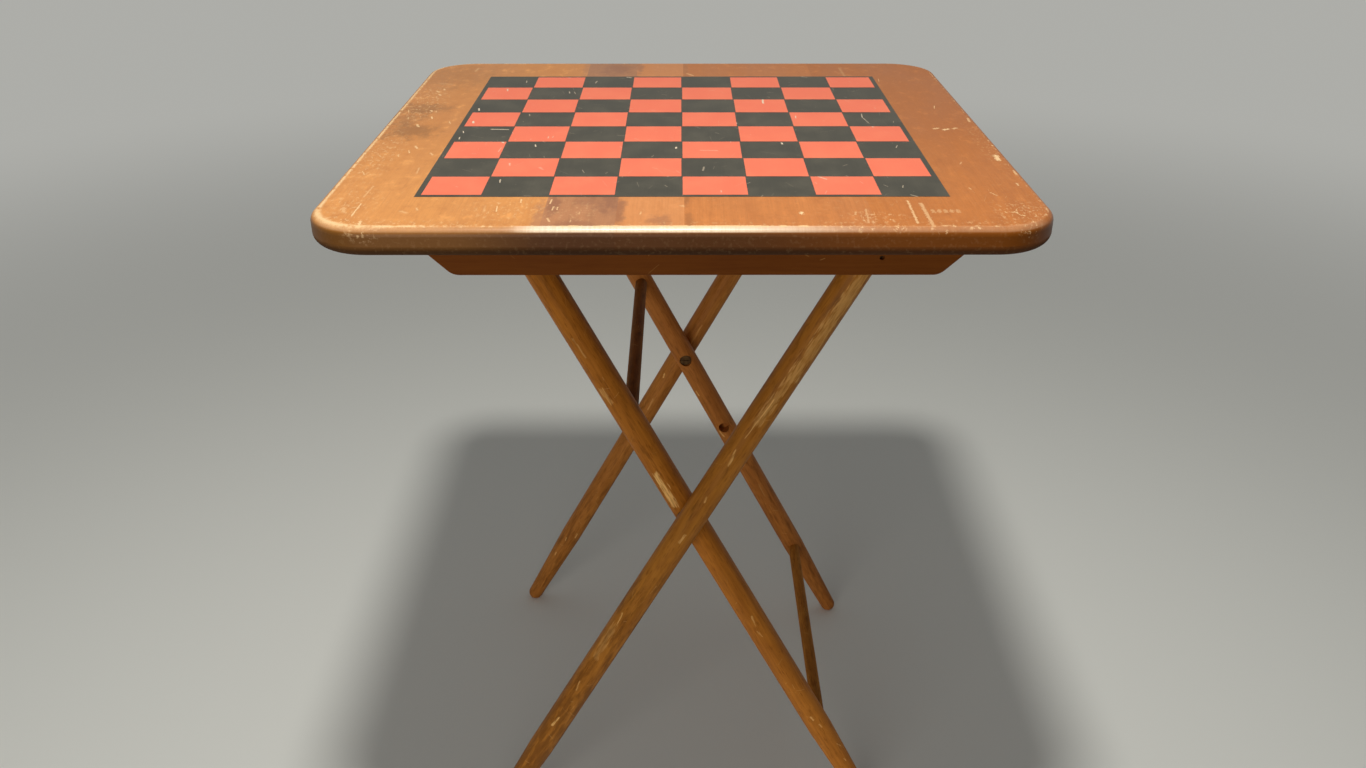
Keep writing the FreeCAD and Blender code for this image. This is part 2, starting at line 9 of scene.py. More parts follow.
# %% Load the table
import json
import math

import bpy
import numpy as np
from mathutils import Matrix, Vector

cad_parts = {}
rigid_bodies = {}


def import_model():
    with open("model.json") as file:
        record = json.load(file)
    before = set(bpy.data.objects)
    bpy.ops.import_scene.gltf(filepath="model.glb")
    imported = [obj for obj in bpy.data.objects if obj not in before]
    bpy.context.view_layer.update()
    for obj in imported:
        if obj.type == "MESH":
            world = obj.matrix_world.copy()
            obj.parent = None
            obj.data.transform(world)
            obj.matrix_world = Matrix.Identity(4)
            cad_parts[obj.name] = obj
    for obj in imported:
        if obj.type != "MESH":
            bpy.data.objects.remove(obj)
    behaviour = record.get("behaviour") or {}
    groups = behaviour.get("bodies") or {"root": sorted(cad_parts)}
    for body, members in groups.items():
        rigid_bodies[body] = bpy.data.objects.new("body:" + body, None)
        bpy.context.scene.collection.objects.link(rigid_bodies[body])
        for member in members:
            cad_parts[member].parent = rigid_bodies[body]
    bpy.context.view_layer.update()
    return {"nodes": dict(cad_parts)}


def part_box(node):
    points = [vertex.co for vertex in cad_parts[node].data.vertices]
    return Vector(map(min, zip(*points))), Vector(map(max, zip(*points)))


for leftover in list(bpy.data.objects):
    bpy.data.objects.remove(leftover)
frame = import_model()
pieces = frame["nodes"]
MM = 0.001

# %% [markdown]
# ## The camera
#
# The picture was taken from just in front of the table, a little above it, looking down at the board.
# The grid of squares gives the angle: its corners fix where the camera stood and how long its lens was.
# A plain perspective camera with no shift and no depth of field then sees the same outline. The Standard
# view shows colours as they are written; Blender's default view would wash the red and the orange out.

# %% Stand the camera where the picture was taken
CAMERA_PLACE = (-0.0008, -1.0545, 0.9510)
CAMERA_PITCH = math.radians(27.25)
CAMERA_TURN = math.radians(-0.1)
LENS_MM = 30.78
SENSOR_MM = 36.0

lens = bpy.data.cameras.new("picture_camera")
lens.lens = LENS_MM
lens.sensor_width = SENSOR_MM
camera = bpy.data.objects.new("picture_camera", lens)
camera.location = CAMERA_PLACE
camera.rotation_euler = (math.pi / 2 - CAMERA_PITCH, 0, CAMERA_TURN)
bpy.context.scene.collection.objects.link(camera)
bpy.context.scene.camera = camera
bpy.context.scene.view_settings.view_transform = "Standard"
print("camera looks down by", round(math.degrees(CAMERA_PITCH), 2), "degrees")

# %% [markdown]
# ## A short vocabulary for finishes
#
# A finish in Blender is a small graph of nodes that ends in one shader. Wiring each node by hand takes
# five lines, so this helper gives the few nodes that a wood or paint finish needs a word each.
# Every pattern reads the Object coordinate: it is measured in metres and moves with the piece.


# %% The Finish helper
class Finish:
    """A material, its shader, and short words for the nodes that feed it."""

    def __init__(self, name):
        self.material = bpy.data.materials.new(name)
        self.material.use_nodes = True
        self.tree = self.material.node_tree
        self.shader = self.tree.nodes["Principled BSDF"]
        coordinates = self.add("ShaderNodeTexCoord", {})
        self.place = coordinates.outputs["Object"]
        self.normal = coordinates.outputs["Normal"]

    def feed(self, socket, value):
        """A socket takes a link from another node, or a plain value."""
        if isinstance(value, bpy.types.NodeSocket):
            self.tree.links.new(value, socket)
        else:
            socket.default_value = value

    def add(self, kind, inputs, **settings):
        """A new node: settings go on the node, inputs are values or links by socket name or number."""
        node = self.tree.nodes.new(kind)
        for name, value in settings.items():
            setattr(node, name, value)
        for key, value in inputs.items():
            self.feed(node.inputs[key], value)
        return node

    def math(self, operation, a, b=0.0):
        return self.add("ShaderNodeMath", {0: a, 1: b}, operation=operation).outputs[0]

    def times(self, *values):
        """The product of the values; of masks, it is where they all are."""
        product = values[0]
        for value in values[1:]:
            product = self.math("MULTIPLY", product, value)
        return product

    def most(self, *masks):
        """The highest of the values; of masks, it is where any of them is."""
        top = masks[0]
        for mask in masks[1:]:
            top = self.math("MAXIMUM", top, mask)
        return top

    def scaled(self, value, factor, plus=0.0):
        """The value times a factor, plus another value."""
        inputs = {0: value, 1: factor, 2: plus}
        return self.add("ShaderNodeMath", inputs, operation="MULTIPLY_ADD").outputs[0]

    def limit(self, value):
        """The value, held between 0 and 1."""
        return self.math("MINIMUM", self.math("MAXIMUM", value, 0.0), 1.0)

    def ease(self, value, start, end):
        """0 before start, 1 after end, with a smooth slope between; start may be the higher one."""
        inputs = {"Value": value, "From Min": start, "From Max": end}
        settings = {"interpolation_type": "SMOOTHSTEP", "clamp": False}
        return self.add("ShaderNodeMapRange", inputs, **settings).outputs[0]

    def vector(self, operation, a, b=(0, 0, 0)):
        node = self.add("ShaderNodeVectorMath", {0: a, 1: b}, operation=operation)
        return node.outputs["Value" if operation in ("DOT_PRODUCT", "LENGTH", "DISTANCE") else "Vector"]

    def parts(self, vector):
        return self.add("ShaderNodeSeparateXYZ", {0: vector}).outputs

    def sized(self, vector, sizes, shift=(0, 0, 0)):
        """The coordinate divided by a size along each axis, so that a pattern repeats at that size."""
        inputs = {"Vector": vector, "Scale": [1 / size for size in sizes], "Location": shift}
        return self.add("ShaderNodeMapping", inputs).outputs[0]

    def noise(self, vector, sizes, detail=2.0, shift=(0, 0, 0), rough=0.5):
        """Soft random patches of the given sizes, from 0 to 1; rough makes their finest detail stronger."""
        place = self.sized(vector, sizes, shift)
        inputs = {"Vector": place, "Scale": 1.0, "Detail": detail, "Roughness": rough}
        return self.add("ShaderNodeTexNoise", inputs).outputs[0]

    def mix(self, share, a, b):
        """Colour a, turning into colour b where share is 1."""
        node = self.add("ShaderNodeMix", {0: share, 6: a, 7: b}, data_type="RGBA")
        return node.outputs[2]

    def bump(self, height, depth):
        """Small relief: height from 0 to 1 is this many metres deep."""
        node = self.add("ShaderNodeBump", {"Height": height, "Distance": depth, "Strength": 1.0})
        self.feed(self.shader.inputs["Normal"], node.outputs[0])


print("finish words:", [word for word in vars(Finish) if not word.startswith("_")])

# %% [markdown]
# ## Scratches and rubs
#
# Years of games leave two kinds of marks. Stray hair scratches lie anywhere and at any angle: a Voronoi
# pattern splits the surface into cells, and each cell may hold one short line turned by a random angle.
# The larger marks have a place of their own, so each is a line with a start, an end and a width.

# %% Stray scratches
TURN = 2 * math.pi
SCRATCH_CORE = 0.3
SHORTEST_REACH = 0.05
ADDED_REACH = 0.45
SCRATCH_FADE = 0.08


def stray_scratches(finish, plane, cell, width, share, shift=0.0):
    """Hair lines in a share of a pattern's cells; plane is a flat coordinate in metres."""
    place = finish.sized(plane, (cell, cell, cell), (shift, shift, 0))
    cells = finish.add("ShaderNodeTexVoronoi", {"Vector": place, "Scale": 1.0}, voronoi_dimensions="2D")
    chance = finish.parts(cells.outputs["Color"])
    from_middle = finish.vector("SUBTRACT", place, cells.outputs["Position"])
    turning = {"Vector": from_middle, "Angle": finish.math("MULTIPLY", chance[0], TURN)}
    turned = finish.add("ShaderNodeVectorRotate", turning, rotation_type="Z_AXIS")
    across, along, _ = finish.parts(turned.outputs[0])
    half_width = width / cell / 2
    line = finish.ease(finish.math("ABSOLUTE", across), half_width, half_width * SCRATCH_CORE)
    reach = finish.scaled(chance[1], ADDED_REACH, SHORTEST_REACH)
    end = finish.math("SUBTRACT", reach, finish.math("ABSOLUTE", along))
    present = finish.ease(chance[2], 1 - share, 1 - share * 0.6)
    return finish.times(line, finish.ease(end, 0, SCRATCH_FADE), present)


print("the longest stray scratch spans", 2 * (SHORTEST_REACH + ADDED_REACH), "of its cell")

# %% Placed marks and stains
MARK_RIM = 0.7
MARK_CORE = 0.35
SHORTEST_RUN = 1e-9


def placed_marks(finish, plane, marks, ragged):
    """Rubs and chips: each mark is (x, y, x, y, width, strength) in mm, and ragged roughens its rim."""
    found = 0.0
    for x0, y0, x1, y1, width, strength in marks:
        start = Vector((x0, y0, 0)) * MM
        run = Vector((x1, y1, 0)) * MM - start
        from_start = finish.vector("SUBTRACT", plane, start)
        share = finish.vector("DOT_PRODUCT", from_start, run / max(run.length_squared, SHORTEST_RUN))
        along = {0: tuple(run), "Scale": finish.limit(share)}
        nearest = finish.add("ShaderNodeVectorMath", along, operation="SCALE").outputs[0]
        away = finish.scaled(ragged, width * MM, finish.vector("DISTANCE", from_start, nearest))
        mark = finish.ease(away, width * MM * MARK_RIM, width * MM * MARK_CORE)
        found = finish.most(found, finish.math("MULTIPLY", mark, strength))
    return found


def soft_spot(finish, plane, x, y, reach_x, reach_y, cloudy):
    """A stain without a hard rim, in mm: full in its middle, gone at its reach, broken by clouds."""
    from_middle = finish.vector("SUBTRACT", plane, (x * MM, y * MM, 0))
    share = finish.vector("MULTIPLY", from_middle, (1 / (reach_x * MM), 1 / (reach_y * MM), 0))
    return finish.ease(finish.math("ADD", finish.vector("LENGTH", share), cloudy), 1.0, 0.2)


print("a mark is a line, a width and a strength; a stain is a spot with two reaches")

# %% [markdown]
# ## Wood
#
# A board is cut from a trunk, so its figure is a set of rings round one long line, the pith. The rings
# are worked out as a distance from that line: they show as long streaks on the face and as arcs on the
# end grain, without a seam between them. Fibres, pores and slow clouds of colour are stretched noise.

# %% The wood recipe
RING_WIDTH = 5.5 * MM
RING_WANDER = 9.0
FIBRE_SIZE = (0.0011, 0.05, 0.0011)
PORE_SIZE = (0.0009, 0.011, 0.0009)


def wood(name, light, dark, along, facing, pith, streaks, figure=1.0, pores=0.15):
    """A varnished wood: its grain runs along one direction and its best side faces another."""
    finish = Finish(name)
    spot = finish.vector("SUBTRACT", finish.place, pith)
    directions = (Vector(along).cross(facing), Vector(along), Vector(facing))
    across, length, up = [finish.vector("DOT_PRODUCT", spot, direction) for direction in directions]
    grain = finish.add("ShaderNodeCombineXYZ", {"X": across, "Y": length, "Z": up}).outputs[0]

    def stretched(thin, long, detail, shift):
        sizes = (thin * figure, long * figure, thin * figure)
        return finish.noise(grain, sizes, detail, (shift, shift + 3, shift))

    squares = finish.math("ADD", finish.math("POWER", across, 2.0), finish.math("POWER", up, 2.0))
    rings_out = finish.math("DIVIDE", finish.math("SQRT", squares), RING_WIDTH * figure)
    phase = finish.scaled(stretched(0.05, 0.30, 2.0, 0), RING_WANDER, rings_out)
    rings = finish.scaled(finish.math("SINE", finish.math("MULTIPLY", phase, TURN)), 0.5, 0.5)
    fibres = finish.noise(grain, FIBRE_SIZE, detail=4.0)
    clouds = stretched(0.045, 0.16, 3.0, 7)
    bands = stretched(0.007, 0.30, 3.0, 2)
    tone = finish.scaled(fibres, 0.5, finish.scaled(clouds, 0.75, -0.25))
    tone = finish.scaled(rings, 0.16 * streaks, tone)
    tone = finish.scaled(bands, 0.9 * streaks, finish.math("SUBTRACT", tone, 0.40 * streaks))
    dashes = finish.ease(finish.noise(grain, PORE_SIZE, detail=2.0, shift=(5, 1, 6)), 0.58, 0.72)
    tone = finish.math("SUBTRACT", tone, finish.math("MULTIPLY", dashes, pores))
    finish.colour = finish.mix(finish.limit(tone), (*dark, 1), (*light, 1))
    finish.grain = grain
    finish.relief = fibres
    finish.clouds = clouds
    return finish


print("ring width in mm:", RING_WIDTH / MM)

# %% [markdown]
# Varnish lies over the colour. Where it is worn through, the wood is paler, duller and a hair lower, so
# one mask drives the colour, the roughness and a small bump together. The shine is how strongly the
# varnish mirrors, and it stays a plain value on the shader.

# %% Varnish and dressing
CLOUDY_GLOSS = 0.18
BARE_DULLNESS = 0.25
FIBRE_RELIEF = 0.25
VARNISH_DEPTH = 0.12 * MM


def varnish(finish, worn, bare, gloss, shine, dulled=0.0):
    """Bare wood shows where the varnish is worn through, and it is dull and a little sunken there."""
    sockets = finish.shader.inputs
    finish.feed(sockets["Base Color"], finish.mix(worn, finish.colour, (*bare, 1)))
    cloudy = finish.scaled(finish.clouds, CLOUDY_GLOSS, gloss - CLOUDY_GLOSS / 2)
    dull = finish.scaled(worn, BARE_DULLNESS, cloudy)
    finish.feed(sockets["Roughness"], finish.math("ADD", dull, dulled))
    finish.bump(finish.math("SUBTRACT", finish.scaled(finish.relief, FIBRE_RELIEF), worn), VARNISH_DEPTH)
    sockets["Specular IOR Level"].default_value = shine
    return finish.material


def dress(node, material):
    """The CAD piece keeps its mesh and gets a new finish."""
    mesh = pieces[node].data
    mesh.materials.clear()
    mesh.materials.append(material)


print("worn varnish is", VARNISH_DEPTH / MM, "mm deep")

# %% [markdown]
# ## The five boards of the top
#
# The boards come from different trees: an orange one on the left, a purple-brown heartwood strip, a
# narrow pinkish one, and two plain brown ones. Wear follows use, so the upper edge is rubbed pale all
# round, most of all at the front corners. The distance to the rounded outline tells the nodes where.

# %% Worn edges of the top
top_low, top_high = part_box("top_board_left")
TOP_HALF = -top_low.x
TOP_FACE = top_high.z
CORNER_RADIUS = 48 * MM
EDGE_ROUND = 6.4 * MM
ARRIS_INSET = 5.6 * MM
LEFT_PART = (-0.12, -0.24)
FRONT_PART = (-0.20, -0.26)
MIDDLE_PART = (0.13, 0.04)
CORNER_PART_X = (-0.17, -0.25)
CORNER_PART_Y = (-0.20, -0.25)


def inset_from_edge(finish):
    """How far a point lies inside the top's rounded outline, seen from above."""
    folded = finish.vector("ABSOLUTE", finish.vector("MULTIPLY", finish.place, (1, 1, 0)))
    past = finish.vector("SUBTRACT", folded, (TOP_HALF - CORNER_RADIUS, TOP_HALF - CORNER_RADIUS, 0))
    outside = finish.vector("LENGTH", finish.vector("MAXIMUM", past, (0, 0, 0)))
    x, y, _ = finish.parts(past)
    inside = finish.math("MINIMUM", finish.math("MAXIMUM", x, y), 0.0)
    return finish.math("SUBTRACT", CORNER_RADIUS, finish.math("ADD", outside, inside))


def edge_wear(finish, ragged):
    """Bare wood along the upper arris: a thin broken line, fullest on the left and at the front."""
    x, y, z = finish.parts(finish.place)
    front = finish.ease(y, *FRONT_PART)
    left = finish.ease(x, *LEFT_PART)
    corner = finish.times(finish.ease(x, *CORNER_PART_X), finish.ease(y, *CORNER_PART_Y))
    from_line = finish.math("ABSOLUTE", finish.math("SUBTRACT", inset_from_edge(finish), ARRIS_INSET))
    width = finish.scaled(finish.most(left, front), 0.9 * MM, finish.scaled(corner, 2.2 * MM, 1.4 * MM))
    line = finish.ease(finish.scaled(ragged, 1.6 * MM, from_line), width, 0.2 * MM)
    middle = finish.times(front, finish.ease(finish.math("ABSOLUTE", x), *MIDDLE_PART))
    kept = finish.scaled(finish.most(left, middle), -0.19, finish.scaled(corner, -0.05, 0.57))
    patches = finish.noise(finish.place, (0.005, 0.005, 0.005), detail=5.0, rough=0.62)
    present = finish.ease(finish.math("SUBTRACT", patches, kept), -0.06, 0.12)
    above = finish.ease(z, TOP_FACE - EDGE_ROUND, TOP_FACE - EDGE_ROUND * 0.4)
    return finish.times(line, above, present, 0.9)


print("top half width in mm:", round(TOP_HALF / MM, 1), "face at", round(TOP_FACE / MM, 1))

# %% [markdown]
# The edge has colours of its own. Its stain is golden at the left, dark in the middle and orange-brown at
# the right. Sleeves have rubbed its front rounding pale, and in the middle of the front the pale colour is
# also a painted highlight of the hanging lamp. An image would need unwrapping first; the tilt of the
# surface does without: it is 1 on the face, 0 on the edge and -1 on the underside.

# %% Colours of the edge
GOLDEN_RIM = (0.200, 0.077, 0.012, 1)
DARK_RIM = (0.095, 0.030, 0.004, 1)
ORANGE_RIM = (0.205, 0.056, 0.004, 1)
GOLDEN_TO_DARK = (-0.17, -0.10)
DARK_TO_ORANGE = (0.02, 0.17)
LOWER_ROUND = (0.040, 0.015, 0.004, 1)
BAND_LEFT_END = (-0.128, -0.100)
BAND_RIGHT_END = (0.15, 0.01)
BAND_FRONT = (-0.25, -0.262)
BAND_ELSEWHERE = 0.14


def rim_colour(finish):
    """The edge's own stain, which changes from left to right."""
    x = finish.parts(finish.place)[0]
    left_part = finish.mix(finish.ease(x, *GOLDEN_TO_DARK), GOLDEN_RIM, DARK_RIM)
    return finish.mix(finish.ease(x, *DARK_TO_ORANGE), left_part, ORANGE_RIM)


def off_underside(finish, tilt):
    """1 everywhere but on the flat underside."""
    return finish.ease(tilt, -0.99, -0.95)


def rim_shade(finish, tilt):
    """0 on the flats of the top, a third on its upper rounding, and nearly 1 on the edge and below it."""
    rounding = finish.math("MULTIPLY", finish.ease(tilt, 0.995, 0.90), 0.30)
    shade = finish.scaled(finish.ease(tilt, 0.80, 0.25), 0.65, rounding)
    return finish.times(shade, off_underside(finish, tilt))


def darker_below(finish, tilt, colour):
    """The colour, darker on the edge's lower rounding, which faces down."""
    rounding = finish.times(finish.ease(tilt, 0.1, -0.5), off_underside(finish, tilt), 0.8)
    return finish.mix(rounding, colour, LOWER_ROUND)


def rubbed_and_highlight_band(finish, tilt):
    """The front rounding, rubbed pale, most in its middle, where the pale colour also paints the lamp's
    highlight, down to a crisp lower line.
    """
    x, y, _ = finish.parts(finish.place)
    streaks = finish.noise(finish.place, (0.0025, 0.03, 0.03), detail=5.0, rough=0.6)
    # In the middle of the front the pale colour is a painted highlight of the lamp as well as rubbed wood.
    middle = finish.times(finish.ease(x, *BAND_LEFT_END), finish.ease(x, *BAND_RIGHT_END))
    share = finish.scaled(middle, 1 - BAND_ELSEWHERE, BAND_ELSEWHERE)
    strip = finish.times(finish.ease(tilt, 0.42, 0.60), finish.ease(tilt, 0.998, 0.985))
    return finish.times(share, finish.ease(y, *BAND_FRONT), strip, finish.scaled(streaks, 0.8, 0.52))


print("rubbed band: full from", BAND_LEFT_END[1], "to", BAND_RIGHT_END[1], "m along the front")

# %% [markdown]
# The larger marks on the bare wood are listed in millimetres from the middle of the top: long scratches
# and a dotted dent row at the front right, a rubbed patch half way down the right side, a worn front left
# corner, and specks all along the left margin, where hands rest.

# %% Marks on the bare wood
WOOD_MARKS = [
    (169, -213, 168, -263, 1.6, 0.65), (178, -219, 178, -270, 2.4, 0.5), (87, -239, 87, -243, 2.4, 1.0),
    (229, -8, 232, -6, 3.0, 0.7), (237, -11, 241, -9, 3.6, 0.9), (246, -8, 249, -5, 2.8, 0.7),
    (264, -93, 263, -107, 3.6, 0.95), (267, 30, 266, 16, 2.0, 0.6), (268, -136, 268, -146, 1.8, 0.6),
    (269, -230, 269, -248, 2.2, 0.6),
    (245, 76, 243, 66, 0.8, 0.7), (222, -181, 223, -185, 1.0, 0.6), (236, -193, 239, -200, 0.9, 0.6),
    (135, -232, 133, -262, 1.4, 0.4), (127, -238, 126, -244, 1.4, 0.45), (207, 179, 208, 192, 0.8, 0.5),
    (174, 206, 173, 246, 2.4, 0.22), (231, -113, 229, -118, 1.2, 0.45), (262, -170, 262, -176, 1.4, 0.6),
    (-239, -219, -239.5, -247, 1.1, 0.85), (-240, -176, -241, -203, 1.2, 0.4),
    (-250, -228, -247, -238, 3.0, 0.4), (-137, -225, -136, -237, 0.9, 0.85),
    (-121, -209, -120.5, -217, 1.1, 0.8), (-196, -229, -194, -234, 1.3, 0.5),
    (-206, -236, -201, -240, 2.6, 0.35), (-230, -64, -227, -71, 1.7, 0.75),
    (-233, -77, -231, -85, 1.0, 0.75), (-239, -89, -238, -96, 1.1, 0.6), (-213, -85, -210, -91, 1.3, 0.6),
    (-214, -128, -213, -143, 1.2, 0.4), (-257, -256, -245, -265, 3.6, 0.9),
    (-230, -259, -228, -275, 2.4, 0.9), (-249, 139, -246, 133, 2.0, 0.7), (-243, 147, -242, 142, 1.7, 0.75),
    (-244, 125, -242, 119, 2.0, 0.65), (-251, 172, -240, 168, 5.0, 0.18), (-223, 244, -224, 230, 2.6, 0.35),
    (-240, 59, -238, 56, 1.9, 0.9), (-235, 58, -234, 53, 1.2, 0.6), (-235, 36, -233, 28, 1.3, 0.85),
    (-215, 18, -213, 11, 1.0, 0.7), (-243, 8, -240, 0, 1.9, 0.8), (-256, 34, -255, 27, 1.1, 0.6),
    (-262, 62, -260, 52, 1.0, 0.55), (-258, -137, -254, -147, 1.0, 0.55), (0, -224, 9, -230, 3.0, 0.42),
    (-98, -210, -98.5, -219, 1.2, 0.75), (-95, -226, -95.5, -234, 1.0, 0.7),
    (-92, -227, -92, -233, 0.8, 0.7), (-97, -252, -95, -259, 1.5, 0.6),
    (-30, -238, -30.5, -243, 1.0, 0.55), (-75, -238, -75, -243, 0.8, 0.5),
    (6, 218, 12, 208, 2.2, 0.5), (-80, -256, -80, -260, 0.8, 0.5),
]
DOTTED_ROW = [(x, -234, x, -239, 2.6, 0.35) for x in (184, 188.5, 193, 197.5, 202)]
print("marks on the wood:", len(WOOD_MARKS) + len(DOTTED_ROW))

# %% [markdown]
# Between the marks, whole places are scuffed: the corners, the left margin and the front edge. Drawing
# each scuff would look like strokes of a pen. A soft spot says instead how scuffed a place is, and fine
# noise breaks it up. On the edge, the spots lie on the skin unrolled: along it, and down over the rounding.

# %% Scuffed places
SCUFFS = [
    (-248, -258, 34, 20, 1.0), (-190, -264, 90, 14, 0.8), (-244, -215, 34, 50, 0.6),
    (-255, -90, 26, 130, 0.65), (-250, 90, 30, 120, 0.7), (-130, -232, 50, 40, 0.6),
    (250, -244, 30, 38, 1.1), (140, -252, 34, 22, 0.8), (215, -262, 60, 10, 0.5),
    (-80, -240, 30, 44, 0.35), (20, -264, 110, 8, 0.4), (262, -60, 14, 120, 0.35),
]
RIM_SCUFFS = [
    (-226, 8, 20, 14, 0.7), (-246, 4, 18, 8, 0.6), (110, 3, 24, 6, 0.9), (130, 5, 8, 7, 1.2),
    (154, 4, 7, 7, 1.2), (186, 9, 7, 5, 1.0), (175, 3, 12, 5, 0.8), (212, 3, 16, 5, 1.0),
    (248, 8, 14, 10, 0.9), (60, 2, 40, 4, 0.6),
]
SCUFFED_ELSEWHERE = 0.06


def scuff_zone(finish, plane, spots, low, high):
    """How scuffed a place is, from soft spots in mm; only those that reach this board get nodes."""
    zone = SCUFFED_ELSEWHERE
    for x, y, reach_x, reach_y, strength in spots:
        if low.x <= (x + reach_x) * MM and (x - reach_x) * MM <= high.x:
            spot = soft_spot(finish, plane, x, y, reach_x, reach_y, 0.0)
            zone = finish.most(zone, finish.math("MULTIPLY", spot, strength))
    return zone


def front_skin(finish):
    """A coordinate on the front edge: x along it, y down over its rounding."""
    x, _, z = finish.parts(finish.place)
    turned_in = finish.math("MINIMUM", inset_from_edge(finish), EDGE_ROUND)
    down = finish.math("SUBTRACT", TOP_FACE + EDGE_ROUND, finish.math("ADD", z, turned_in))
    return finish.add("ShaderNodeCombineXYZ", {"X": x, "Y": down}).outputs[0]


print("scuffed places:", len(SCUFFS), "on the face,", len(RIM_SCUFFS), "on the edge")

# %% [markdown]
# A board's colour is built up in the order in which it came about: the wood, deeper towards the rear,
# then mottling from hands, stains, the stained edge, and the plain underside, which never had much
# finish. Each layer is one mix over the one before.

# %% Colour of a board
REAR_PART = (-0.21, 0.02)
REAR_SHARE = 0.65
UNDERSIDE = (0.20, 0.092, 0.036, 1)


def board_colour(finish, tilt, light, dark, stains, mottled):
    """The board's own colour with its age, mottling, stains, edge and underside."""
    y = finish.parts(finish.place)[1]
    plane = finish.vector("MULTIPLY", finish.place, (1, 1, 0))
    aged = finish.math("MULTIPLY", finish.ease(y, *REAR_PART), REAR_SHARE)
    colour = finish.mix(aged, finish.colour, (*dark, 1))
    mottle = finish.noise(finish.place, (0.011, 0.020, 0.011), detail=6.0, shift=(6, 2, 4), rough=0.66)
    deeper = finish.math("MULTIPLY", finish.ease(mottle, 0.50, 0.74), mottled + 0.1)
    paler = finish.math("MULTIPLY", finish.ease(mottle, 0.48, 0.28), mottled)
    colour = finish.mix(deeper, colour, (*dark, 1))
    colour = finish.mix(paler, colour, (*light, 1))
    cloudy = finish.noise(finish.place, (0.014, 0.026, 0.014), detail=6.0, shift=(4, 4, 4), rough=0.68)
    cloudy = finish.scaled(cloudy, 2.6, -1.3)
    for spot_x, spot_y, reach_x, reach_y, strength, stain in stains:
        shade = soft_spot(finish, plane, spot_x, spot_y, reach_x, reach_y, cloudy)
        colour = finish.mix(finish.math("MULTIPLY", shade, strength), colour, (*stain, 1))
    colour = finish.mix(rim_shade(finish, tilt), colour, rim_colour(finish))
    raw = finish.math("MULTIPLY", finish.ease(tilt, -0.95, -0.99), 0.7)
    return finish.mix(raw, darker_below(finish, tilt, colour), UNDERSIDE)


print("the boards deepen by", REAR_SHARE, "towards the rear")

# %% [markdown]
# The wear of a board gathers all that bares the wood into one mask: the listed marks, stray hairs, the
# scuffed places and the rubbed arris. The highest of them wins, because wood can't be barer than bare.

# %% Wear of a board
FLAT_FACE = (0.90, 0.99)
FRONT_EDGE = (-0.256, -0.264)


def board_wear(finish, tilt, low, high):
    """Where the varnish of one board, which reaches from low to high, is worn through."""
    y = finish.parts(finish.place)[1]
    plane = finish.vector("MULTIPLY", finish.place, (1, 1, 0))
    flat = finish.ease(tilt, *FLAT_FACE)
    ragged = finish.noise(finish.place, (0.0013, 0.0024, 0.0013), detail=4.0, rough=0.6)
    ragged = finish.scaled(ragged, 2.4, -1.2)
    own = [mark for mark in WOOD_MARKS + DOTTED_ROW if low.x <= mark[0] * MM < high.x]
    marks = finish.times(placed_marks(finish, plane, own, ragged), flat)
    fine = stray_scratches(finish, plane, 13 * MM, 0.4 * MM, 0.30)
    short = stray_scratches(finish, plane, 6 * MM, 0.5 * MM, 0.30, shift=3.7)
    patchy = finish.noise(finish.place, (0.05, 0.07, 0.05), detail=2.0, shift=(1, 8, 2))
    patchy = finish.scaled(finish.ease(patchy, 0.42, 0.62), 0.30, 0.08)
    stray = finish.times(finish.most(fine, short), flat, patchy)
    rubs = finish.noise(finish.place, (0.0030, 0.0055, 0.0030), detail=4.0, shift=(3, 3, 1), rough=0.62)
    rubs = finish.most(finish.ease(rubs, 0.52, 0.68), finish.times(short, flat))
    on_face = finish.times(scuff_zone(finish, plane, SCUFFS, low, high), flat)
    on_edge = scuff_zone(finish, front_skin(finish), RIM_SCUFFS, low, high)
    on_edge = finish.times(on_edge, finish.ease(y, *FRONT_EDGE))
    scuffed = finish.times(rubs, finish.most(on_face, on_edge), 0.8)
    return finish.most(marks, stray, scuffed, edge_wear(finish, ragged))


print("a board's wear: marks, stray hairs, scuffs and the arris")

# %% [markdown]
# Now each board gets its own colours, streaks and pith. The stains lie where they do on the old table:
# smoke-dark clouds on the left margin, purple shadows in the heartwood strip, and dark seams where one
# board meets the next. The edge below is duller than the face, and the rubbed band, whose pale middle is
# also a painted highlight of the lamp, a little glossier.

# %% Finish the five boards
PITH_BELOW = -0.08
BARE_WOOD = (0.94, 0.63, 0.32)
# The band's pale colour stands for rubbed wood and, in its middle, for the lamp's painted highlight.
RUBBED_AND_HIGHLIGHT = (0.97, 0.77, 0.55, 1)
BOARD_GLOSS = 0.35
BOARD_SHINE = 0.20
DULLED_BELOW = 0.5
POLISHED_BAND = -0.12


def board(node, light, dark, streaks, pith_x, stains=(), mottled=0.45):
    """One board of the top with its own colours, stains, wear and marks, and the lamp's highlight painted
    on its front band.
    """
    pith = (pith_x, 0, TOP_FACE + PITH_BELOW)
    finish = wood(node, light, dark, (0, 1, 0), (0, 0, 1), pith, streaks)
    tilt = finish.parts(finish.normal)[2]
    band = rubbed_and_highlight_band(finish, tilt)
    finish.colour = finish.mix(band, board_colour(finish, tilt, light, dark, stains, mottled), RUBBED_AND_HIGHLIGHT)
    polished = finish.math("MULTIPLY", band, POLISHED_BAND)
    dulled = finish.scaled(finish.ease(tilt, 0.10, -0.30), DULLED_BELOW, polished)
    worn = board_wear(finish, tilt, *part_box(node))
    dress(node, varnish(finish, worn, BARE_WOOD, BOARD_GLOSS, BOARD_SHINE, dulled))


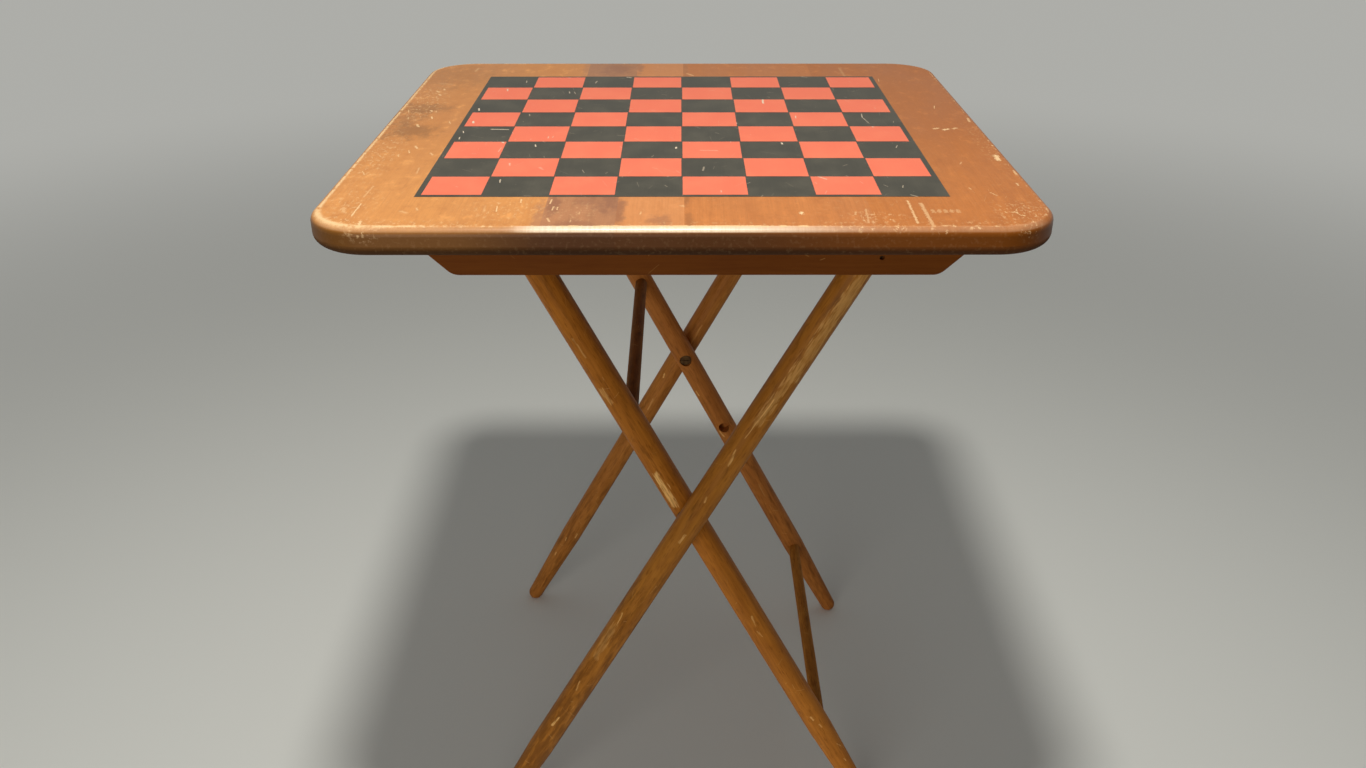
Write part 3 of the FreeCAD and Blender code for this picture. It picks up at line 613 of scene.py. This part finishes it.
SMOKE = (0.33, 0.130, 0.030)
PURPLE = (0.29, 0.112, 0.052)
SEAM = (0.40, 0.140, 0.034)
HEARTWOOD = (0.48, 0.200, 0.080)
left_stains = [
    (-250, 68, 36, 34, 0.7, SMOKE), (-246, -14, 38, 38, 0.75, SMOKE), (-256, 30, 26, 34, 0.5, SMOKE),
    (-238, 205, 60, 70, 0.35, SMOKE),
    (-104, -246, 7, 60, 0.8, HEARTWOOD), (-103, 240, 6, 60, 0.6, HEARTWOOD),
]
dark_stains = [
    (-56, -216, 12, 36, 0.8, PURPLE), (-96, -222, 7, 34, 0.7, PURPLE), (-78, -266, 26, 14, 0.45, PURPLE),
    (-70, -214, 12, 20, 0.5, PURPLE), (-70, 240, 20, 40, 0.6, PURPLE),
]
narrow_stains = [
    (-46, -238, 6, 46, 0.7, PURPLE), (-16, -256, 13, 20, 0.5, PURPLE), (-46, 240, 6, 46, 0.6, PURPLE),
]
middle_stains = [(3, -214, 5, 22, 0.8, SEAM), (5, -258, 5, 24, 0.7, SEAM), (4, 240, 4, 50, 0.6, SEAM)]
board("top_board_left", (0.87, 0.38, 0.100), (0.57, 0.210, 0.045), 0.35, -0.20, left_stains, 0.75)
board("top_board_dark", (0.58, 0.248, 0.102), (0.38, 0.155, 0.061), 0.6, -0.09, dark_stains)
board("top_board_narrow", (0.80, 0.32, 0.104), (0.56, 0.20, 0.049), 0.45, -0.01, narrow_stains)
board("top_board_middle", (0.76, 0.268, 0.062), (0.45, 0.139, 0.025), 0.35, 0.09, middle_stains)
board("top_board_right", (0.69, 0.232, 0.043), (0.41, 0.118, 0.015), 0.3, 0.22)
print("boards finished:", sorted(name for name in pieces if name.startswith("top_board")))

# %% [markdown]
# ## The painted board
#
# The squares are paint, not inlay: black was laid over the whole field, and the red squares over that.
# Some chips have a place of their own, so they are listed like the marks on the wood, in millimetres
# from the middle of the board. They go down to pale wood, not to the other coat.

# %% Chips in the paint
RED_CHIPS = [
    (-193, 18, -192, 12, 1.9, 1.0), (-178, 146, -177, 138, 1.2, 0.8), (-142, -116, -141, -122, 1.2, 0.5),
    (-118, -34, -118, -40, 0.8, 0.6), (-114, -33, -114, -38, 0.8, 0.5), (-157, -51, -155, -55, 1.6, 0.9),
    (80, 106, 79.5, 86, 1.6, 0.95), (107, 37, 106.5, 29, 1.0, 0.8), (108, -152, 114, -160, 1.3, 0.6),
    (30, -188, 30, -193, 0.8, 0.5), (-116, -128, -113, -133, 2.2, 0.25), (173, 3, 174, -3, 1.4, 0.7),
    (16, -78, 30, -79, 1.4, 0.35), (-120, 198, -118, 196, 1.2, 0.5), (-155, -70, -156, -82, 0.7, 0.6),
]
BLACK_CHIPS = [
    (-195, 66, -194, 59, 1.4, 0.95), (-196.5, -16, -195.5, -22, 0.9, 0.95),
    (-196.5, -36, -196, -42, 0.9, 0.9), (-172, -9.5, -157, -10.5, 1.8, 0.75),
    (-127, -60, -126, -66, 1.0, 0.85), (-143.5, -160, -143, -168, 0.9, 0.7),
    (-163, 184, -162, 175, 0.9, 0.5), (-114, 135, -113, 128, 0.9, 0.6), (-109, 134, -107, 126, 0.8, 0.5),
    (-89, 182, -90, 172, 1.2, 0.45), (170, 45, 169, 32, 0.8, 0.65), (169, 32, 172, 13, 0.7, 0.55),
    (87, -55, 87, -59, 1.5, 1.0), (-5, -68, -5, -72, 1.3, 1.0), (50, 13, 50, 9, 1.3, 1.0),
    (186, -63, 184, -70, 0.8, 0.5), (172, -176, 171, -181, 0.7, 0.5), (174, -199, 178, -203, 1.3, 0.35),
    (-144, 44, -143, 38, 0.9, 0.5), (18, -126, 17, -136, 1.3, 0.35), (-58, 200, -54, 198, 1.8, 0.8),
    (133, 199, 128, 202, 1.6, 0.4),
]
print("chips:", len(RED_CHIPS), "in the red,", len(BLACK_CHIPS), "in the black")

# %% [markdown]
# Old paint is never one colour. It has dull clouds where it was rubbed, faint lines where the wood's
# fibres show through, hair scratches, and specks where it has chipped. One recipe serves both coats,
# with a fresh colour and a rubbed one for each.

# %% Finish the two coats of paint
CHIP = (0.86, 0.70, 0.50, 1)
PAINT_SHINE = 0.4
PAINT_DEPTH = 0.08 * MM


def paint(node, fresh, rubbed, chips, gloss):
    """Old satin paint with rubbed clouds, scratches and chips."""
    finish = Finish(node)
    sockets = finish.shader.inputs
    plane = finish.vector("MULTIPLY", finish.place, (1, 1, 0))
    clouds = finish.noise(finish.place, (0.026, 0.036, 0.026), detail=6.0, rough=0.62)
    fibres = finish.noise(finish.place, (0.0012, 0.05, 0.0012), detail=3.0)
    ragged = finish.noise(finish.place, (0.0012, 0.0018, 0.0012), detail=3.0)
    ragged = finish.scaled(ragged, 1.6, -0.8)
    rub = finish.scaled(fibres, 0.35, finish.scaled(finish.ease(clouds, 0.35, 0.75), 0.75, -0.1))
    colour = finish.mix(finish.limit(rub), (*fresh, 1), (*rubbed, 1))
    hairs = finish.times(stray_scratches(finish, plane, 17 * MM, 0.35 * MM, 0.35), 0.25)
    specks = finish.times(stray_scratches(finish, plane, 9 * MM, 0.6 * MM, 0.06, shift=5.3), 0.5)
    worn = finish.most(placed_marks(finish, plane, chips, ragged), hairs, specks)
    finish.feed(sockets["Base Color"], finish.mix(worn, colour, CHIP))
    finish.feed(sockets["Roughness"], finish.scaled(clouds, 0.16, gloss))
    finish.bump(finish.math("SUBTRACT", finish.scaled(fibres, 0.3), worn), PAINT_DEPTH)
    sockets["Specular IOR Level"].default_value = PAINT_SHINE
    dress(node, finish.material)


paint("board_red_coat", (0.93, 0.180, 0.088), (0.96, 0.222, 0.112), RED_CHIPS, 0.38)
paint("board_black_coat", (0.042, 0.038, 0.024), (0.090, 0.080, 0.055), BLACK_CHIPS, 0.36)
print("painted: board_red_coat, board_black_coat")

# %% [markdown]
# ## Legs, rungs and aprons
#
# The legs are turned from one long stick each, so the grain runs along the stick, whatever way it leans.
# The direction is measured on the piece: it is the one along which the points of its mesh spread most.
# Round the stick, an angle and a length unroll the surface, so scratches don't stretch on it.

# %% The recipe for a round stick
# The pale colour of bare leg wood; it also paints the gleams of light among the leg marks.
LEG_BARE_AND_GLEAM = (0.92, 0.53, 0.17)
STICK_GLOSS = 0.46
STICK_SHINE = 0.1
FOOT_PART = (0.45, 0.05)
GRIME_AND_SHADE_DEPTH = 0.55


def stick_axis(node):
    """Where a stick's centre line starts and which way it runs, measured on its mesh."""
    points = np.array([vertex.co for vertex in pieces[node].data.vertices])
    middle = points.mean(axis=0)
    direction = np.linalg.svd(points - middle, full_matrices=False)[2][0]
    direction = direction * np.sign(direction.sum())
    reach = ((points - middle) @ direction).min()
    return Vector(middle + direction * reach), Vector(direction)


def stick(node, facing, radius, light, dark, marks=(), foot_grime_and_shade=0.06, gloss=STICK_GLOSS):
    """A turned stick: grain along its length, a foot tone of grime and painted shade, and marks, some of
    them painted highlights, unrolled as (mm round, mm along) pairs.
    """
    foot, axis = stick_axis(node)
    finish = wood(node, light, dark, axis, facing, foot, streaks=0.8, figure=0.4, pores=0.55)
    side, length, front = finish.parts(finish.grain)
    grime_and_shade = finish.noise(finish.grain, (0.0045, 0.026, 0.0045), detail=5.0, shift=(2, 9, 4), rough=0.66)
    # A plus foot number darkens the foot with grime; a minus one lightens it, leaving the upper leg darker
    # as painted shade under the top.
    grime_and_shade = finish.scaled(finish.ease(length, *FOOT_PART), foot_grime_and_shade, grime_and_shade)
    grime_and_shade = finish.math("MULTIPLY", finish.ease(grime_and_shade, 0.50, 0.76), 0.7)
    grimy_and_shaded = [part * GRIME_AND_SHADE_DEPTH for part in dark]
    finish.colour = finish.mix(grime_and_shade, finish.colour, (*grimy_and_shaded, 1))
    around = finish.math("MULTIPLY", finish.math("ARCTAN2", side, front), radius)
    skin = finish.add("ShaderNodeCombineXYZ", {"X": around, "Y": length}).outputs[0]
    ragged = finish.noise(finish.grain, (0.0012, 0.0130, 0.0012), detail=5.0, rough=0.6)
    broken = finish.scaled(finish.ease(ragged, 0.60, 0.40), 0.6, 0.4)
    ragged = finish.scaled(ragged, 2.4, -1.2)
    hairs = finish.times(stray_scratches(finish, skin, 14 * MM, 0.4 * MM, 0.3), 0.18)
    nicks = finish.times(stray_scratches(finish, skin, 11 * MM, 0.7 * MM, 0.12, shift=2.9), 0.28)
    # A few placed marks are gleams of light: their pale bare wood is a painted highlight.
    placed = finish.times(placed_marks(finish, skin, marks, ragged), broken)
    worn = finish.most(hairs, nicks, placed)
    dress(node, varnish(finish, worn, LEG_BARE_AND_GLEAM, gloss, STICK_SHINE))


print("a stick is grimy up to", FOOT_PART[0], "m from its foot")

# %% [markdown]
# Each leg has its own tone and its own scars. The tones are partly painted light: each leg's wood is made
# brighter or darker after how much light falls on it, and a few pale marks high on the front legs are
# painted highlights, gleams of light drawn as bare wood. The marks are listed in millimetres: first the way
# round from the side that faces front, then the height along the leg from its foot. The last number of a
# wood shifts the tone near the foot: plus darkens the foot with grime; minus, on the front inner leg,
# lightens the foot and leaves the upper leg darker, as painted shade under the top.

# %% Finish the four legs
LEG_RADIUS = 12.1 * MM
LEG_MARKS_AND_GLEAMS = {
    "front_outer_leg": [
        (-2, 566, -4, 522, 0.7, 0.8), (-1, 560, -2, 548, 1.2, 0.5), (-5, 508, -3, 492, 1.6, 0.55),
        (-3.4, 455, -3, 450, 1.4, 0.5), (-1, 412, -2, 402, 1.6, 0.55), (-9, 306, -7, 292, 1.2, 0.6),
        # The broad pale strokes (3, 700, 1, 590) and (0, 598, -2, 540) are partly a painted highlight along
        # the leg.
        (-9, 290, -7, 250, 6.0, 0.25), (-5, 166, -6, 154, 1.6, 0.8), (3, 700, 1, 590, 8.0, 0.45),
        (0, 598, -2, 540, 6.0, 0.35), (-7, 215, -5, 205, 1.2, 0.4), (3, 350, 2, 340, 1.0, 0.4),
    ],
    "front_inner_leg": [
        # The bright patch (-3, 460, -4, 424) is a painted highlight: a gleam of light drawn as bare wood.
        (-5, 556, -4, 542, 4.0, 0.45), (-3, 460, -4, 424, 5.0, 1.0), (2, 280, 1, 268, 1.2, 0.55),
        (0, 262, 1, 254, 1.0, 0.5), (0, 140, 1, 135, 1.2, 0.65), (3, 127, 4, 122, 1.0, 0.5),
        (8, 92, 13, 80, 0.7, 0.55), (6, 71, 7, 67, 1.0, 0.6), (-3, 610, -2, 590, 1.2, 0.3),
    ],
    "rear_outer_leg": [
        (-8, 375, -7, 371, 1.7, 0.95), (-4, 340, -3, 325, 1.6, 0.4), (-6.5, 111, -6, 107, 1.3, 0.9),
        (4, 123, 4, 117, 1.5, 0.85), (-8, 83, -8, 79, 1.3, 0.8), (0, 452, 1, 414, 1.5, 0.3),
    ],
    "rear_inner_leg": [
        (-10, 366, -9, 361, 1.7, 0.95), (-9, 306, -7, 298, 1.5, 0.75), (2, 220, 2, 200, 1.2, 0.25),
    ],
}
# The leg tones are partly painted light: each is brighter or darker after how much light falls on that leg.
LEG_WOODS_AND_LIGHT = {
    "front_outer_leg": ((0.54, 0.215, 0.028), (0.26, 0.084, 0.008), 0.22),
    "front_inner_leg": ((0.62, 0.224, 0.027), (0.29, 0.088, 0.008), -0.30),
    "rear_outer_leg": ((0.58, 0.228, 0.044), (0.30, 0.097, 0.014), 0.06),
    "rear_inner_leg": ((0.60, 0.222, 0.046), (0.32, 0.097, 0.016), 0.06),
}
for leg, marks in LEG_MARKS_AND_GLEAMS.items():
    light, dark, foot_grime_and_shade = LEG_WOODS_AND_LIGHT[leg]
    stick(leg, (0, -1, 0), LEG_RADIUS, light, dark, marks, foot_grime_and_shade)
    lean = stick_axis(leg)[1].angle((0, 0, 1))
    print(leg, "leans", round(math.degrees(lean), 1), "degrees")

# %% [markdown]
# The rungs are thin dowels that keep the inner legs apart. They use the legs' recipe with less gloss,
# because nobody polishes a rung, and seen from behind a glossy one would catch a white line of light.

# %% Finish the rungs
RUNG_RADIUS = 6.35 * MM
RUNG_GLOSS = 0.68
RUNG_WOODS = {
    "upper_rung": ((0.34, 0.125, 0.015), (0.17, 0.052, 0.004)),
    "lower_rung": ((0.54, 0.215, 0.030), (0.28, 0.092, 0.009)),
}
for rung, (light, dark) in RUNG_WOODS.items():
    stick(rung, (0, 0, 1), RUNG_RADIUS, light, dark, gloss=RUNG_GLOSS)
    low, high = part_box(rung)
    print(rung, round((high.y - low.y) / MM), "mm long")

# %% [markdown]
# The aprons are the two rails under the top that hold the hinge pins, and the cleat is the strip that
# stops the inner legs. They were stained darker than the top and never saw the sun, so they kept a deep
# red-brown. Their wear is light: a few nicks on their sides.

# %% Finish the rails under the top
RAIL_LIGHT = (0.22, 0.064, 0.006)
RAIL_DARK = (0.13, 0.032, 0.002)
RAIL_GLOSS = 0.62
RAIL_SHINE = 0.1
LEFT_TO_RIGHT = (1, 0, 0)
FRONT_TO_BACK = (0, 1, 0)


def rail(node, along):
    """A straight rail: grain along its length, and nicks on the sides that stand upright."""
    low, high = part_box(node)
    middle = (low + high) / 2
    finish = wood(node, RAIL_LIGHT, RAIL_DARK, along, (0, 0, 1), middle, streaks=0.6, figure=0.6)
    x, y, z = finish.parts(finish.place)
    face = finish.add("ShaderNodeCombineXYZ", {"X": x if along[0] else y, "Y": z}).outputs[0]
    nicks = finish.times(stray_scratches(finish, face, 16 * MM, 0.7 * MM, 0.22), 0.28)
    dress(node, varnish(finish, nicks, LEG_BARE_AND_GLEAM, RAIL_GLOSS, RAIL_SHINE))


rail("front_apron", LEFT_TO_RIGHT)
rail("rear_apron", LEFT_TO_RIGHT)
rail("stop_cleat", FRONT_TO_BACK)
print("rails finished: two aprons and the stop cleat")

# %% [markdown]
# ## Screws, washers and pins
#
# The fasteners are plain steel that has gone brown and dull in the wood. Noise lays a brown film over
# the metal and roughens it, so that only small spots still shine as bare steel does.

# %% Finish the steel
STEEL = (0.13, 0.070, 0.026, 1)
BROWN_FILM = (0.080, 0.036, 0.010, 1)
FILM_SHINE = 0.15
FASTENERS = (
    "pivot_screws", "pivot_washers", "apron_screws", "cleat_screws", "front_hinge_pin", "rear_hinge_pin",
)
steel = Finish("aged_steel")
film = steel.ease(steel.noise(steel.place, (0.0035, 0.0035, 0.0035), detail=4.0), 0.35, 0.65)
steel.feed(steel.shader.inputs["Base Color"], steel.mix(film, STEEL, BROWN_FILM))
steel.feed(steel.shader.inputs["Roughness"], steel.scaled(film, 0.25, 0.38))
steel.feed(steel.shader.inputs["Metallic"], steel.scaled(film, -0.6, 0.7))
steel.shader.inputs["Specular IOR Level"].default_value = FILM_SHINE
steel.bump(film, 0.05 * MM)
for fastener in FASTENERS:
    dress(fastener, steel.material)
print("steel pieces:", len(FASTENERS))

# %% [markdown]
# ## Floor, light and air
#
# The table stands on a plain pale floor. The light comes from above and behind, and little of it from the
# front, which keeps the reds and browns of the front faces deep, so the floor throws back less light
# there. The camera sees one plain grey far away, and the floor melts into it without an edge.

# %% Lay the floor
FLOOR_RADIUS = 14.0
FLOOR_SIDES = 96
FLOOR_DROP = 0.2 * MM
FLOOR_DULLNESS = 0.9
FLOOR_PAINT = (0.79, 0.80, 0.75, 1)
NO_LIGHT = (0, 0, 0, 1)
FAR_GREY = (0.42, 0.42, 0.395, 1)
FAR_FROM = (0.9, 3.2)
BEHIND_FROM = (-1.0, -0.3)
DIM_FRONT = 0.10


def seen_rays(finish, behind):
    """1 for what the camera sees; mirrored rays see the same, dimmed where they don't look behind."""
    path = finish.add("ShaderNodeLightPath", {}).outputs
    mirrored = finish.most(path["Is Glossy Ray"], path["Is Transmission Ray"])
    mirrored = finish.times(mirrored, finish.scaled(behind, 1 - DIM_FRONT, DIM_FRONT))
    return finish.most(path["Is Camera Ray"], mirrored)


rim = []
for corner in range(FLOOR_SIDES):
    angle = TURN * corner / FLOOR_SIDES
    rim.append((FLOOR_RADIUS * math.cos(angle), FLOOR_RADIUS * math.sin(angle), -FLOOR_DROP))
floor_mesh = bpy.data.meshes.new("floor")
floor_mesh.from_pydata(rim, [], [list(range(FLOOR_SIDES))])
floor = bpy.data.objects.new("floor", floor_mesh)
bpy.context.scene.collection.objects.link(floor)

ground = Finish("pale_floor")
behind = ground.ease(ground.parts(ground.place)[1], *BEHIND_FROM)
seen = seen_rays(ground, behind)
pale = ground.most(seen, ground.scaled(behind, 1 - DIM_FRONT, DIM_FRONT))
ground.feed(ground.shader.inputs["Base Color"], ground.mix(pale, NO_LIGHT, FLOOR_PAINT))
ground.shader.inputs["Roughness"].default_value = FLOOR_DULLNESS
far = ground.ease(ground.vector("LENGTH", ground.place), *FAR_FROM)
glow = ground.add("ShaderNodeEmission", {"Color": FAR_GREY, "Strength": 1.0})
blend = ground.add("ShaderNodeMixShader", {0: ground.times(far, seen)})
ground.tree.links.new(ground.shader.outputs[0], blend.inputs[1])
ground.tree.links.new(glow.outputs[0], blend.inputs[2])
ground.tree.links.new(blend.outputs[0], ground.tree.nodes["Material Output"].inputs["Surface"])
floor_mesh.materials.append(ground.material)
print("floor disc of", FLOOR_RADIUS, "m")

# %% [markdown]
# The world in Blender is the air round the scene: it lights everything a little, from all sides. Here it
# is brighter behind the table than in front. The light that it gives and the grey that the camera sees
# are two different things, so a Light Path node chooses between them.


# %% Fill the air with light
class Air(Finish):
    """The world's own nodes, with the same words; its place is the direction that a ray looks in."""

    def __init__(self, name):
        self.world = bpy.data.worlds.new(name)
        self.world.use_nodes = True
        self.tree = self.world.node_tree
        self.place = self.add("ShaderNodeTexCoord", {}).outputs["Generated"]


AMBIENT_REAR = 0.26
AMBIENT_FRONT = 0.07
REAR_VIEW = (-0.4, 0.5)
WHITE = (1, 1, 1, 1)
air = Air("studio_air")
bpy.context.scene.world = air.world
rearward = air.ease(air.parts(air.place)[1], *REAR_VIEW)
level = air.scaled(rearward, AMBIENT_REAR - AMBIENT_FRONT, AMBIENT_FRONT)
ambient = air.add("ShaderNodeBackground", {"Color": WHITE, "Strength": level})
shown = air.add("ShaderNodeBackground", {"Color": FAR_GREY, "Strength": 1.0})
choice = air.add("ShaderNodeMixShader", {0: seen_rays(air, rearward)})
air.tree.links.new(ambient.outputs[0], choice.inputs[1])
air.tree.links.new(shown.outputs[0], choice.inputs[2])
air.tree.links.new(choice.outputs[0], air.tree.nodes["World Output"].inputs["Surface"])
print("ambient light:", AMBIENT_REAR, "behind,", AMBIENT_FRONT, "in front")

# %% [markdown]
# The shadow on the floor tells where the main lamp hung. Its sides are half as wide again as the top, so
# the lamp was three times as high as the table; its front edge puts the lamp a little in front of it.
# A weak, wide panel at the left front lights the legs under the top, which are brighter on their left.

# %% Hang the lamps
LAMP_COLOUR = (1.0, 0.98, 0.94)


def soft_lamp(name, place, target, size, power):
    """A round lamp of a size in metres and a power in watts, turned towards its target."""
    lamp = bpy.data.lights.new(name, "AREA")
    lamp.shape = "DISK"
    lamp.size = size
    lamp.energy = power
    lamp.color = LAMP_COLOUR
    holder = bpy.data.objects.new(name, lamp)
    holder.location = place
    holder.rotation_euler = (Vector(target) - Vector(place)).to_track_quat("-Z", "Y").to_euler()
    bpy.context.scene.collection.objects.link(holder)


soft_lamp("hanging_lamp", place=(-0.05, -0.47, 1.97), target=(0, 0, 0.6), size=0.22, power=18.6)
soft_lamp("left_panel", place=(-0.9, -2.7, 0.65), target=(0, 0, 0.4), size=2.2, power=32.0)

# %% [markdown]
